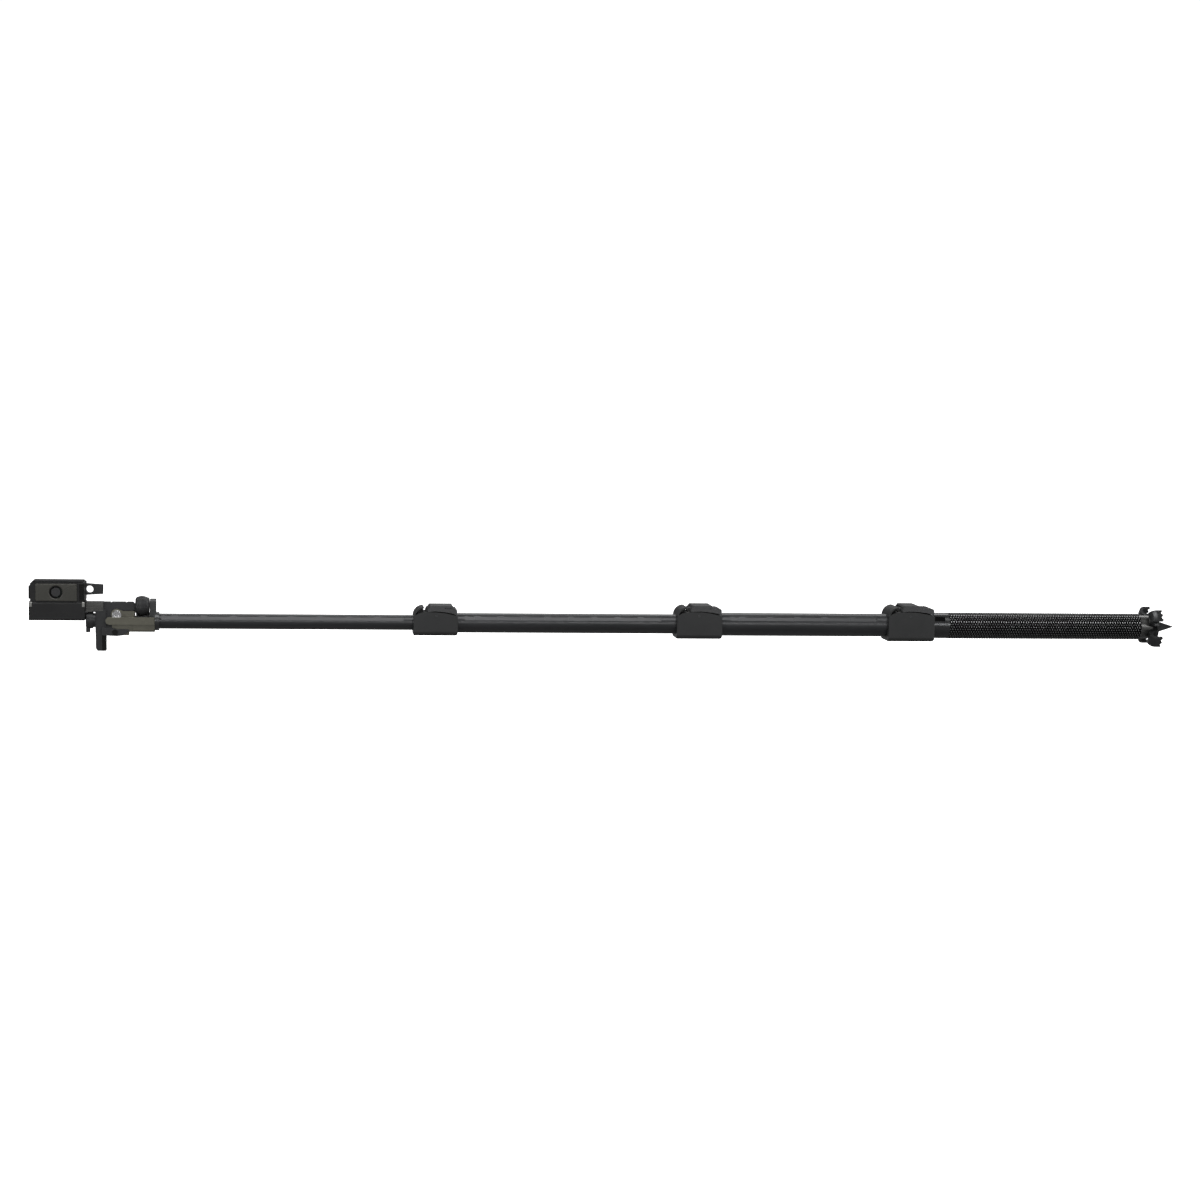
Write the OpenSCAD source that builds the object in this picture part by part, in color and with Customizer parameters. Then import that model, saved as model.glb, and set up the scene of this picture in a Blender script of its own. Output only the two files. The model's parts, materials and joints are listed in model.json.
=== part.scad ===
// Telescopic camera pole ("selfie stick") with three cam clamps, a knurled grip
// and a clawed, spiked butt. A small camera pod sits on a tilting head.
// +X runs along the pole to the spike, +Z is up, and the pole lies on z = 0.

/* [Tubes] */
// Outer diameter of the thinnest tube, which carries the head
d_four = 16.5; // [16:0.1:17]
// Outer diameter of the third tube
d_three = 21.5; // [21:0.1:22]
// Outer diameter of the second tube
d_two = 25.5; // [25.2:0.1:25.8]
// Outer diameter of the handle tube
d_handle = 28.6; // [28.4:0.1:29]
// Wall of the three sliding tubes
tube_wall = 1.5; // [1.3:0.1:1.6]
// Wall of the handle tube
handle_wall = 1; // [0.8:0.1:1.1]

/* [Lengths] */
// Visible length of the thinnest tube when drawn out
show_four = 276.2; // [270:0.1:290]
// Visible length of the third tube when drawn out
show_three = 241; // [238:0.1:260]
// Visible length of the second tube when drawn out
show_two = 187.8; // [186:0.1:200]
// Length of the handle behind its clamp
show_handle = 241.6; // [235:0.1:260]
// How far a tube stays inside the next one when drawn out
tube_overlap = 60; // [50:1:65]

/* [Index strip] */
// Width of the milled strip along each tube
strip_w = 5.3; // [4:0.1:6]
// Angle of the strip above the horizontal on the front side
strip_angle = 36; // [20:1:50]
// Length of the land between two pockets
land_w = 6.6; // [5:0.1:8]

/* [Clamps] */
// Cheek thickness outside the held tube
cheek_t = 3.1; // [2.9:0.1:3.4]
// Length of the part of a clamp that grips the sliding tube
grip_zone = 20; // [19:0.5:22]
// Height of a lever's back above the held tube
lever_rise = 9; // [8.8:0.1:9.4]
// Diameter of a lever's hinge pin
pin_d = 2.4; // [2:0.1:2.4]

/* [Butt] */
// Outer diameter of the knurled sleeve
grip_d = 29.6; // [29.4:0.1:30]
// Outer diameter of the end cap
cap_d = 26.2; // [25.8:0.1:26.6]
// Length of the end cap
cap_len = 14.7; // [14:0.1:16]
// Radius of the claws' outer faces
claw_r = 28.5; // [28:0.1:29]
// Angle of each claw above or below the horizontal
claw_spread = 34; // [32:1:45]
// Length of the spike's cone
spike_len = 22.5; // [21:0.5:26]

/* [Head] */
// Distance of the tilt screw from the head end of the pole
tilt_back = 39.7; // [39:0.1:41]
// Height of the tilt screw above the pole's axis
tilt_z = 7.1; // [6.9:0.1:7.3]
// Radius of the thumb knob
knob_r = 10.6; // [10:0.1:10.8]
// Depth that the foot plate reaches below the pole's axis
foot_drop = 31.8; // [31:0.1:33]

/* [Pod] */
// Length of the pod along the pole
pod_l = 56.6; // [56.2:0.1:57]
// Depth of the pod across the pole
pod_d = 30; // [29:0.5:31]
// Diameter of the tab's hole
tab_hole_d = 7.4; // [7:0.1:7.8]

/* [Hidden] */
$fn = 64;
eps = 0.01;
fit = 0.05;

// Radii of the tubes
r_four = d_four / 2;
r_three = d_three / 2;
r_two = d_two / 2;
r_handle = d_handle / 2;

// Chain of stations along the pole, from the head end at tip_x
tip_x = -481.5;
clamp_len_one = 34 + 1.28 * r_three;
clamp_len_two = 34 + 1.28 * r_two;
clamp_len_three = 34 + 1.28 * r_handle;
clamp_one_x = tip_x + show_four;
clamp_two_x = clamp_one_x + clamp_len_one + show_three;
clamp_three_x = clamp_two_x + clamp_len_two + show_two;
grip_x0 = clamp_three_x + clamp_len_three + 18.5;
grip_x1 = clamp_three_x + clamp_len_three + show_handle;
cap_x1 = grip_x1 + cap_len;
crown_x0 = cap_x1;
spike_x0 = crown_x0 + 5;
spike_tip_x = spike_x0 + spike_len;

// Pod and head stations
pod_x0 = tip_x - 129.5;
pod_x1 = pod_x0 + pod_l;
pod_z0 = 1.5;
pod_split_z = 21.4;
pod_z1 = 42;
pod_top_t = 1.2;
tilt_x = tip_x - tilt_back;
// How far the port cover stands out of the pod's end
cover_out = 2.2;

// The whole pole is centred in x and lies on the plane z = 0
centre_x = (pod_x0 - cover_out + spike_tip_x) / 2;
module place() {
  translate([-centre_x, 0, foot_drop]) children();
}

// A rod along X, from x0 to x1
module rod_x(r, x0, x1, y = 0, z = 0) {
  translate([x0, y, z]) rotate([0, 90, 0]) cylinder(r = r, h = x1 - x0);
}

// A rod along Y, from y0 to y1
module rod_y(r, x, z, y0, y1) {
  translate([x, y1, z]) rotate([90, 0, 0]) cylinder(r = r, h = y1 - y0);
}

// A box given by its two corners
module box(a, b) {
  translate(a) cube(b - a);
}

// Points of an arc about (cx, cz)
function arc(cx, cz, r, a0, a1, n = 8) =
  [for (i = [0:n]) let(a = a0 + (a1 - a0) * i / n) [cx + r * cos(a), cz + r * sin(a)]];

// Points of an arc of an ellipse
function earc(cx, cz, rx, rz, a0, a1, n = 12) =
  [for (i = [0:n]) let(a = a0 + (a1 - a0) * i / n) [cx + rx * cos(a), cz + rz * sin(a)]];

// Rounded rectangle outline
function rrect(x0, z0, x1, z1, r, n = 6) = concat(
  arc(x1 - r, z0 + r, r, 270, 360, n),
  arc(x1 - r, z1 - r, r, 0, 90, n),
  arc(x0 + r, z1 - r, r, 90, 180, n),
  arc(x0 + r, z0 + r, r, 180, 270, n));

// An outline in X and Z, extruded along Y from y0 to y1
module plate_y(points, y0, y1) {
  translate([0, y1, 0]) rotate([90, 0, 0]) linear_extrude(height = y1 - y0) polygon(points);
}

// An outline in Y and Z, extruded along X from x0 to x1
module plate_x(points, x0, x1) {
  translate([x0, 0, 0]) rotate([90, 0, 90]) linear_extrude(height = x1 - x0) polygon(points);
}

// An outline in X and Y, extruded along Z from z0 to z1
module plate_z(points, z0, z1) {
  translate([0, 0, z0]) linear_extrude(height = z1 - z0) polygon(points);
}

// A box that sits on the index strip of a tube of radius r
module strip_box(r, x0, x1, w, depth) {
  rotate([-strip_angle, 0, 0])
    translate([x0, -r - 2, -w / 2]) cube([x1 - x0, 2 + depth, w]);
}

// A sliding tube with its milled strip and pockets
module section_tube(r, wall, x0, x1, first_land, pitch, lands) {
  flat = r - sqrt(r * r - strip_w * strip_w / 4);
  pocket_depth = 0.55;
  difference() {
    rod_x(r, x0, x1);
    rod_x(r - wall, x0 - 1, x1 + 1);
    strip_box(r, first_land - land_w * 1.6, first_land + pitch * lands, strip_w + 2, flat);
    for (i = [0:lands - 1])
      strip_box(r, first_land + pitch * i + land_w, first_land + pitch * (i + 1),
        strip_w - 0.9, flat + pocket_depth);
    strip_box(r, first_land - land_w, first_land, strip_w - 0.9, flat + pocket_depth);
  }
}

module section_four_tube() {
  x1 = clamp_one_x + grip_zone + tube_overlap;
  color("#3b3c3d") place()
    section_tube(r_four, tube_wall, tip_x + 4.5, x1, tip_x + 17.5, 31, 8);
}

module section_three_tube() {
  x1 = clamp_two_x + grip_zone + tube_overlap;
  color("#3b3c3d") place()
    section_tube(r_three, tube_wall, clamp_one_x + grip_zone, x1,
      clamp_one_x + clamp_len_one + 18.5, 25.7, 8);
}

module section_two_tube() {
  x1 = clamp_three_x + grip_zone + tube_overlap;
  color("#3b3c3d") place()
    section_tube(r_two, tube_wall, clamp_two_x + grip_zone, x1,
      clamp_two_x + clamp_len_two + 20.3, 31, 5);
}

// Guide bush on the hidden end of a sliding tube
module guide_bush(r_tube, r_bore, x1) {
  place() difference() {
    rod_x(r_bore - fit, x1 - 16, x1);
    rod_x(r_tube, x1 - 17, x1 + 1);
  }
}

module guide_bush_four() {
  color("#d8d8d2")
    guide_bush(r_four, r_three - tube_wall, clamp_one_x + grip_zone + tube_overlap);
}

module guide_bush_three() {
  color("#d8d8d2")
    guide_bush(r_three, r_two - tube_wall, clamp_two_x + grip_zone + tube_overlap);
}

module guide_bush_two() {
  color("#d8d8d2")
    guide_bush(r_two, r_handle - handle_wall, clamp_three_x + grip_zone + tube_overlap);
}

module handle_tube() {
  key_x0 = clamp_three_x + clamp_len_three + 1.5;
  color("#3d3e3f") place() difference() {
    rod_x(r_handle, clamp_three_x + grip_zone, grip_x1);
    rod_x(r_handle - handle_wall, clamp_three_x + grip_zone - 1, grip_x1 + 1);
    strip_box(r_handle, key_x0, key_x0 + 12, strip_w, 0.9);
  }
}

module knurled_grip() {
  color("#454648") place() difference() {
    rod_x(grip_d / 2, grip_x0, grip_x1);
    rod_x(r_handle, grip_x0 - 1, grip_x1 + 1);
  }
}

// Clamp heights that follow from the held tube's radius
function cheek_y(r) = r + cheek_t;
function clamp_low(r) = r + 2.4;
function clamp_crest(r) = r + 1.9;
function lever_top(r) = r + lever_rise;
function pivot_z(r) = clamp_crest(r) + 2.1;
pivot_u = 16.6;
hood_u = 11;
ear_gap = 5.5;
ear_t = 2.4;
pad_t = 1.8;
cam_offset = 0.8;
pad_gap = 0.3;
pin_skin = 1;
lever_wall = 2.6;
lever_back = 1.8;
step_drop = 3.2;
crest_fall = 4.4;
crest_run = 0.56;

// Side outline of a clamp's body, with a round shoulder and a falling crest
function cheek_outline(r, len) = let(
  low = clamp_low(r), top = clamp_crest(r), shoulder = 0.28 * len, drop = 7) concat(
  [[0, -low + 0.8], [0.8, -low]],
  arc(len - 3, -low + 3, 3, 270, 360),
  [[len, top - crest_fall]],
  [for (t = [0.1:0.1:0.9]) [len - crest_run * len * t, top - crest_fall * (1 - t) * (1 - t)]],
  earc(shoulder, top - drop, shoulder, drop, 90, 180));

// Cross-section of a clamp's body, with round lower edges
function clamp_section(r, top) = let(y = cheek_y(r), low = clamp_low(r), e = 5) concat(
  arc(y - e, -low + e, e, 270, 360),
  [[y, top], [-y, top]],
  arc(-y + e, -low + e, e, 180, 270));

// Round hood in front of a lever, open at both sides
module hood(r) {
  top = lever_top(r) - 1.5;
  foot = clamp_crest(r) - 6;
  t = 1.4;
  y = cheek_y(r);
  web_y = 2.2;
  reach = y;
  difference() {
    plate_y(concat(earc(hood_u, foot, hood_u, top - foot, 180, 90), [[hood_u, foot]]), -y, y);
    for (side = [-1, 1])
      translate([0, side * (web_y + reach), 0])
        plate_y(concat(earc(hood_u, foot, hood_u - t, top - foot - t, 180, 90),
          [[hood_u + 1, top - t], [hood_u + 1, foot - 1], [t, foot - 1]]), -reach, reach);
  }
}

// One clamp body on the held tube of radius r, with the sliding tube of radius ri inside
module clamp_collar(x, r, ri, len) {
  pz = pivot_z(r);
  y = cheek_y(r);
  ear_y = y - lever_wall - 0.3;
  color("#5a5b5c") place() translate([x, 0, 0]) difference() {
    union() {
      intersection() {
        plate_y(cheek_outline(r, len), -y, y);
        plate_x(clamp_section(r, lever_top(r)), -1, len + 1);
      }
      hood(r);
      for (side = [-1, 1]) {
        y0 = side > 0 ? ear_y - ear_t : -ear_y;
        rod_y(2.8, pivot_u, pz, y0, y0 + ear_t);
        box([pivot_u - 2.8, y0, pz - 4], [pivot_u + 2.8, y0 + ear_t, pz]);
      }
    }
    rod_x(ri + fit, -1, len + 1);
    rod_x(r, grip_zone, len + 1);
    rod_y(pin_d / 2, pivot_u, pz, -y, y);
    box([pivot_u - 5, -ear_gap, 0], [pivot_u + 5, ear_gap, pz + 5]);
    box([pivot_u - 5, -ear_y + ear_t, clamp_crest(r) - 1.2],
      [pivot_u + 5, ear_y - ear_t, pz + 5]);
    for (side = [-1, 1])
      rivet(r, side);
  }
}

// Short rivet in a cheek
rivet_u = 24.5;
module rivet(r, side) {
  y = cheek_y(r);
  z = 0.82 * r;
  y0 = side > 0 ? y - 2.6 : -y - 0.25;
  rod_y(1.5, rivet_u, z, y0, y0 + 2.85);
}

module collar_rivets(x, r) {
  color("#77787a") place() translate([x, 0, 0]) for (side = [-1, 1])
    rivet(r, side);
}

// Side outline of a lever, about its own pin
function lever_outline(r, len, step_u) = let(
  top = lever_top(r) - pivot_z(r), end = len - pivot_u - 0.8, low = -1.2, fall = 3.5) concat(
  arc(0, 0, 1.9, 180, 270),
  [for (t = [1:-0.1:0.15]) [len - crest_run * len * t - pivot_u, low - fall * (1 - t) * (1 - t)]],
  arc(end - 1.5, low - fall + 1.5, 1.5, 270, 360),
  arc(end - 2, top - step_drop - 2, 2, 0, 90),
  [[step_u - pivot_u + 0.8, top - step_drop], [step_u - pivot_u, top - step_drop + 0.8]],
  [[step_u - pivot_u, top - 0.5], [step_u - pivot_u - 0.5, top]],
  [[-lever_back + 3.2, top], [-lever_back, top - 4.6]]);

// One cam lever: a channel over the ears, with the cam between them
module lock_lever(x, r, ri, len, step_u) {
  pz = pivot_z(r);
  y = cheek_y(r) - 0.1;
  wall_y = y - lever_wall;
  top = lever_top(r) - pz;
  end = len - pivot_u - 0.8;
  cam_r = pz - ri - pad_t - pad_gap - cam_offset;
  cam_y = ear_gap - 0.3;
  color("#4b4c4e") place() translate([x + pivot_u, 0, pz]) difference() {
    union() {
      difference() {
        plate_y(lever_outline(r, len, step_u), -y, y);
        box([-6, -wall_y, -8], [step_u - pivot_u - 2, wall_y, top - 1.6]);
        box([-6, -wall_y, -8], [end - 2.5, wall_y, top - step_drop - 1.4]);
      }
      rod_y(cam_r, 0, -cam_offset, -cam_y, cam_y);
      box([1, -cam_y, 0], [4, cam_y, top - 1]);
    }
    rod_y(pin_d / 2 + fit, 0, 0, -y + pin_skin, y + 1);
    rod_x(r + pad_gap, 0, len, 0, -pz);
    for (i = [0:4])
      box([end - 2.6 - 2.6 * i, -y - 1, top - step_drop - 0.5],
        [end - 1.6 - 2.6 * i, y + 1, top - step_drop + 1]);
  }
}

// Hinge pin, put in from the rear and hidden behind a skin at the front
module lever_pin(x, r) {
  y = cheek_y(r) - 0.3;
  color("#8c8e90") place()
    rod_y(pin_d / 2, x + pivot_u, pivot_z(r), -y + pin_skin, y);
}

// Plastic pad that the cam presses on the sliding tube
module pressure_pad(x, r, ri) {
  half_y = ear_gap - 0.4;
  color("#d8d8d2") place() difference() {
    box([x + pivot_u - 4.7, -half_y, ri - 2.5], [x + grip_zone - 0.3, half_y, ri + pad_t]);
    rod_x(ri + fit, x, x + pivot_u + 10);
  }
}

module clamp_collar_one() {
  clamp_collar(clamp_one_x, r_three, r_four, clamp_len_one);
}

module clamp_collar_two() {
  clamp_collar(clamp_two_x, r_two, r_three, clamp_len_two);
}

module clamp_collar_three() {
  clamp_collar(clamp_three_x, r_handle, r_two, clamp_len_three);
}

module lock_lever_one() {
  lock_lever(clamp_one_x, r_three, r_four, clamp_len_one, 42.5);
}

module lock_lever_two() {
  lock_lever(clamp_two_x, r_two, r_three, clamp_len_two, 39.5);
}

module lock_lever_three() {
  lock_lever(clamp_three_x, r_handle, r_two, clamp_len_three, 35);
}

module lever_pin_one() {
  lever_pin(clamp_one_x, r_three);
}

module lever_pin_two() {
  lever_pin(clamp_two_x, r_two);
}

module lever_pin_three() {
  lever_pin(clamp_three_x, r_handle);
}

module pressure_pad_one() {
  pressure_pad(clamp_one_x, r_three, r_four);
}

module pressure_pad_two() {
  pressure_pad(clamp_two_x, r_two, r_three);
}

module pressure_pad_three() {
  pressure_pad(clamp_three_x, r_handle, r_two);
}

module collar_rivets_one() {
  collar_rivets(clamp_one_x, r_three);
}

module collar_rivets_two() {
  collar_rivets(clamp_two_x, r_two);
}

module collar_rivets_three() {
  collar_rivets(clamp_three_x, r_handle);
}

// Threaded insert inside the handle's end, which holds the cap and the crown
stud_r = 4;
module butt_plug() {
  color("#9a9c9e") place() difference() {
    rod_x(r_handle - handle_wall, grip_x1 - 14, grip_x1);
    rod_x(stud_r, grip_x1 - 15, grip_x1 + 1);
  }
}

module end_cap() {
  color("#6a6b6a") place() difference() {
    rotate([0, 90, 0]) rotate_extrude()
      polygon([[0, grip_x1], [cap_d / 2, grip_x1], [cap_d / 2, cap_x1 - 1],
        [cap_d / 2 - 1, cap_x1], [0, cap_x1]]);
    rod_x(stud_r, grip_x1 - 1, cap_x1 + 1);
  }
}

// Hook profile of the claws: radius and distance along the pole
claw_half = 6.6;
hook_r = 7.5;
hook_t = 3;
claw_len = 6;
claw_mid = claw_r - hook_r;
claw_angles = [claw_spread, 180 - claw_spread, 180 + claw_spread, -claw_spread];
function claw_profile() = concat(
  arc(claw_mid, crown_x0, hook_r, 180, 360, 16),
  [[claw_r, crown_x0 + claw_len], [claw_r - hook_t, crown_x0 + claw_len]],
  arc(claw_mid, crown_x0, hook_r - hook_t, 360, 180, 16),
  [[claw_mid - hook_r + hook_t, spike_x0], [stud_r + 1, spike_x0], [stud_r + 1, crown_x0]]);

// Four toothed claws on a hub
module claw_crown() {
  tooth_r = 2;
  tooth_z = 2.9;
  hub_r = 11;
  color("#58595a") place() difference() {
    union() {
      rod_x(hub_r, crown_x0, spike_x0);
      intersection() {
        rotate([0, 90, 0]) rotate_extrude($fn = 96) polygon(claw_profile());
        union() {
          for (angle = claw_angles)
            rotate([angle, 0, 0])
              box([crown_x0 - hook_r - 1, 0, -claw_half], [crown_x0 + 20, claw_r + 1, claw_half]);
        }
      }
    }
    rod_x(stud_r, crown_x0 - 1, spike_x0 + 1);
    for (angle = claw_angles)
      rotate([angle, 0, 0])
        for (side = [-1, 1])
          translate([crown_x0 + claw_len + 0.2, claw_mid, side * tooth_z])
            rotate([-90, 0, 0]) cylinder(r = tooth_r, h = hook_r + 2);
  }
}

module spike() {
  color("#4a4b4c") place() union() {
    rotate([0, 90, 0]) rotate_extrude()
      polygon([[0, spike_x0], [7.5, spike_x0], [0.5, spike_tip_x - 0.6], [0, spike_tip_x]]);
    rod_x(stud_r, grip_x1 - 12, spike_x0 + eps);
  }
}

// Head end of the pole: plug, flange and fork
flange_r = 10;
module tip_plug() {
  ear = 24;
  ear_z = 4.9;
  color("#6f706d") place() difference() {
    union() {
      rod_x(r_four - tube_wall, tip_x + 4.5, tip_x + 26);
      rod_x(flange_r, tip_x, tip_x + 4.5);
      plate_x(concat([[-6.5, ear_z], [6.5, ear_z]], arc(3.5, ear - 3, 3, 0, 90),
        arc(-3.5, ear - 3, 3, 90, 180)), tip_x - 5.3, tip_x + 1.2);
      box([knob_x0, -6.5, ear_z], [tip_x - 1, 9.6, ear_z + 0.6]);
      box([knob_x0, 7.6, ear_z], [tip_x - 1, 9.6, 8.6]);
    }
    rod_x(socket_screw_r, tip_x - 1, tip_x + 12);
  }
}

// Hidden screw that joins the plug and the fork
socket_screw_r = 2;
module socket_screw() {
  color("#a8aaac") place() rod_x(socket_screw_r, tip_x - 12, tip_x + 12);
}

fork_y = 10;
tongue_y = 4;
bracket_y = 6;
side_gap = 0.3;
socket_x0 = tip_x - 27.5;
socket_z0 = -11;
socket_z1 = 4.7;
// The bar along the front of the fork, whose free end is a round nose
bar_y0 = -12;
bar_y1 = -9.8;
bar_z0 = -3;
bar_z1 = 5.2;
nose_x0 = tilt_x - 11.8;
ear_front_y = -6.6;
ear_rear_y = 8.5;

// Side outline of the fork's ears
function ear_outline() = let(block_x1 = tip_x - 21.3, block_z = 11) concat(
  arc(tilt_x, tilt_z, 6.4, 90, 200),
  [[tilt_x - 6, 0], [socket_x0 + 2, bar_z0], [block_x1, bar_z0], [block_x1, block_z]],
  [[tilt_x + 6.6, block_z]]);

// Fork of the tilting head
module tip_socket() {
  nose_r = (bar_z1 - bar_z0) / 2;
  notch_x1 = socket_x0 + 4.8;
  color("#8d8b78") place() difference() {
    union() {
      plate_x(rrect(-fork_y, socket_z0, fork_y, socket_z1, 2.5), socket_x0, tip_x);
      plate_y(concat(arc(nose_x0 + nose_r, bar_z0 + nose_r, nose_r, 90, 270),
        [[tip_x, bar_z0], [tip_x, bar_z1]]), bar_y0, bar_y1);
      box([socket_x0, bar_y1 - eps, bar_z0], [tip_x, bar_y1 + 3, socket_z1 - 2]);
      plate_y(ear_outline(), ear_front_y, -tongue_y - side_gap);
      plate_y(ear_outline(), tongue_y + side_gap, ear_rear_y);
      plate_y(concat([[socket_x0 + 1, 0], [latch_x - 3.4, 0]],
        arc(latch_x, latch_z, 3.4, 180, 270), [[socket_x0 + 1, latch_z - 3.4]]),
        latch_y1 + 0.2, -bracket_y - side_gap);
    }
    box([socket_x0 - 1, -fork_y - 1, socket_z0 - 1], [notch_x1, latch_y1 + 0.3, bar_z0 - 0.5]);
    rod_y(tilt_bore_r, tilt_x, tilt_z, bar_y1, fork_y + 1);
    rod_y(latch_pin_r, latch_x, latch_z, -fork_y - 1, fork_y + 1);
    box([socket_x0 - 30, -tongue_y - side_gap, -2.6], [socket_x0 + 0.5, tongue_y + side_gap, 20]);
    rod_x(socket_screw_r, tip_x - 12, tip_x + 1);
  }
}

tilt_bore_r = 3;
head_r = 4.9;
latch_x = tilt_x - 1.6;
latch_z = -11.2;
latch_pin_r = 1.8;
latch_y0 = -10.9;
latch_y1 = -9.1;

// Socket-head screw through the fork
module tilt_bolt() {
  head_y0 = ear_front_y - 3;
  color("#d9dadb") place() difference() {
    union() {
      rod_y(tilt_bore_r, tilt_x, tilt_z, head_y0 + 1, fork_y + 1);
      rod_y(head_r, tilt_x, tilt_z, head_y0, ear_front_y);
    }
    translate([tilt_x, head_y0 + 2, tilt_z]) rotate([90, 0, 0]) cylinder(r = 2.3, h = 3, $fn = 6);
  }
}

module tilt_nut() {
  color("#a8aaac") place() translate([tilt_x, ear_rear_y + 3, tilt_z]) rotate([90, 0, 0])
    difference() {
      cylinder(r = 5.2, h = 3, $fn = 6);
      translate([0, 0, -1]) cylinder(r = tilt_bore_r, h = 6);
    }
}

rail_z0 = 11.2;
rail_z1 = 20.6;
rail_x1 = tip_x - 21;
plate_x0 = tilt_x - 22.7;
plate_x1 = tilt_x - 15.5;
strip_t = 4;
strip_top = -12;
// Shelf of the bracket over the plunger
shelf = 3;
shelf_z = 9.8;

// Head bracket: rail, tilt tongue and foot plate in one casting
module head_bracket() {
  rail = [[plate_x0, rail_z0], [rail_x1 - 0.8, rail_z0], [rail_x1, rail_z0 + 0.8], [rail_x1, rail_z1 - 2.4],
    [rail_x1 - 2, rail_z1], [pod_x1 + 0.9, rail_z1], [pod_x1 + 0.9, rail_z0]];
  slot_w = 1.3;
  slot_depth = 0.8;
  color("#4c4d4e") place() difference() {
    union() {
      plate_y(rail, -tongue_y, tongue_y);
      rod_y(6, tilt_x, tilt_z, -tongue_y, tongue_y);
      plate_y([[tilt_x - 16, rail_z0 + 1], [tilt_x, rail_z0 + 1], [tilt_x, tilt_z - 9],
        [tilt_x - 6, tilt_z - 15.5], [tilt_x - 16, tilt_z - 15.5]], -tongue_y, tongue_y);
      box([tilt_x - 6, -tongue_y, tilt_z], [tilt_x + 6, tongue_y, rail_z0 + 1]);
      plate_y([[plate_x0 + 0.6, -foot_drop + 3], [plate_x0 + 2.6, -foot_drop], [plate_x1, -foot_drop],
        [plate_x1, strip_top], [plate_x1 + strip_t, strip_top], [plate_x1 + strip_t, rail_z0 + 1],
        [plate_x0 - shelf, rail_z0 + 1], [plate_x0 - shelf, shelf_z], [plate_x0, shelf_z],
        [plate_x0, -8]], -bracket_y, bracket_y);
    }
    rod_y(tilt_bore_r + fit, tilt_x, tilt_z, -fork_y, fork_y);
    for (i = [0:1])
      box([tilt_x - 7 + 16 * i, -tongue_y - 1, rail_z1 - slot_depth],
        [tilt_x - 7 + slot_w + 16 * i, tongue_y + 1, rail_z1 + 1]);
    rod_x(1.5 + fit, rail_x1 - 14, rail_x1 + 1, 0, knob_z);
    rod_x(1.5, plate_x0 - 1, plate_x0 + 4, 0, plunger_z);
  }
}

// Rubber strip on the foot plate, on the side of the pole
module foot_pad() {
  color("#1e1e1e") place()
    box([plate_x1, -bracket_y, -foot_drop], [plate_x1 + strip_t, bracket_y, strip_top]);
}

knob_z = 16.6;
knob_x0 = rail_x1 + 0.4;
knob_x1 = knob_x0 + 14.5;
module knob_screw() {
  color("#a8aaac") place() rod_x(1.5, rail_x1 - 12, knob_x1 - 3, 0, knob_z);
}

module thumb_knob() {
  color("#3f4041") place() translate([0, 0, knob_z]) difference() {
    rotate([0, 90, 0]) rotate_extrude()
      polygon([[0, knob_x0], [knob_r - 2.6, knob_x0], [knob_r - 1, knob_x0 + 2.4],
        [knob_r - 0.2, knob_x0 + 5], [knob_r, knob_x0 + 7], [knob_r - 0.2, knob_x1 - 5.5],
        [knob_r - 1, knob_x1 - 3], [knob_r - 1.6, knob_x1], [0, knob_x1]]);
    rod_x(1.5, knob_x0 - 1, knob_x1 - 3);
  }
}

// Small lever that locks the tilt, on the front of the fork
module latch_lever() {
  tail_x = plate_x1 + 0.1;
  tip_end = latch_x + 15;
  color("#555657") place() difference() {
    plate_y(concat(arc(tail_x + 1.5, latch_z - 2, 1.5, 180, 270), [[latch_x + 2, latch_z - 4.1],
      [latch_x + 8, latch_z - 3.4], [tip_end - 1, latch_z + 0.4], [tip_end, latch_z + 2.6],
      [tip_end - 1, latch_z + 3.4], [latch_x + 2, latch_z + 3.2], [latch_x - 4, latch_z + 5.2],
      [tail_x, latch_z + 4.4]]), latch_y0, latch_y1);
    rod_y(latch_pin_r + fit, latch_x, latch_z, latch_y0 - 1, 0);
  }
}

module latch_pin() {
  color("#1c1c1c") place() union() {
    rod_y(latch_pin_r, latch_x, latch_z, latch_y0 - 0.8, -bracket_y - side_gap);
    rod_y(3, latch_x, latch_z, latch_y0 - 1.2, latch_y0 - 0.1);
  }
}

// Spring plunger on the head side of the foot plate: a cap that slides over a barrel
plunger_z = 0.6;
plunger_travel = 2.2;
barrel_x0 = plate_x0 - 3.6;
barrel_r = 7.6;
spring_r = 4.6;
module plunger_barrel() {
  color("#4c4d4e") place() difference() {
    rod_x(barrel_r, barrel_x0, plate_x0, 0, plunger_z);
    rod_x(spring_r + 0.4, barrel_x0 - 1, plate_x0 + 1, 0, plunger_z);
  }
}

module plunger_spring() {
  color("#9fa1a3") place() difference() {
    rod_x(spring_r, barrel_x0 - 0.6, plate_x0, 0, plunger_z);
    rod_x(spring_r - 1.2, barrel_x0 - 1, plate_x0 + 1, 0, plunger_z);
  }
}

plunger_x0 = pod_x1 + 0.5;
module release_plunger() {
  cap_r = 8.8;
  cap_t = 3.5;
  skirt_x1 = plate_x0 - plunger_travel - 0.4;
  foot_w = 4.2;
  color("#666768") place() union() {
    rotate([0, 90, 0]) translate([-plunger_z, 0, 0]) rotate_extrude()
      polygon([[0, plunger_x0], [cap_r - 1, plunger_x0], [cap_r, plunger_x0 + 1], [cap_r, skirt_x1],
        [barrel_r + 0.4, skirt_x1], [barrel_r + 0.4, plunger_x0 + cap_t], [0, plunger_x0 + cap_t]]);
    rod_x(1.4, plunger_x0 + 2, plate_x0 + 1.5, 0, plunger_z);
    box([plunger_x0, -3.5, plunger_z - 12.8], [plunger_x0 + foot_w, 3.5, plunger_z - cap_r + 1]);
  }
}

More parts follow.
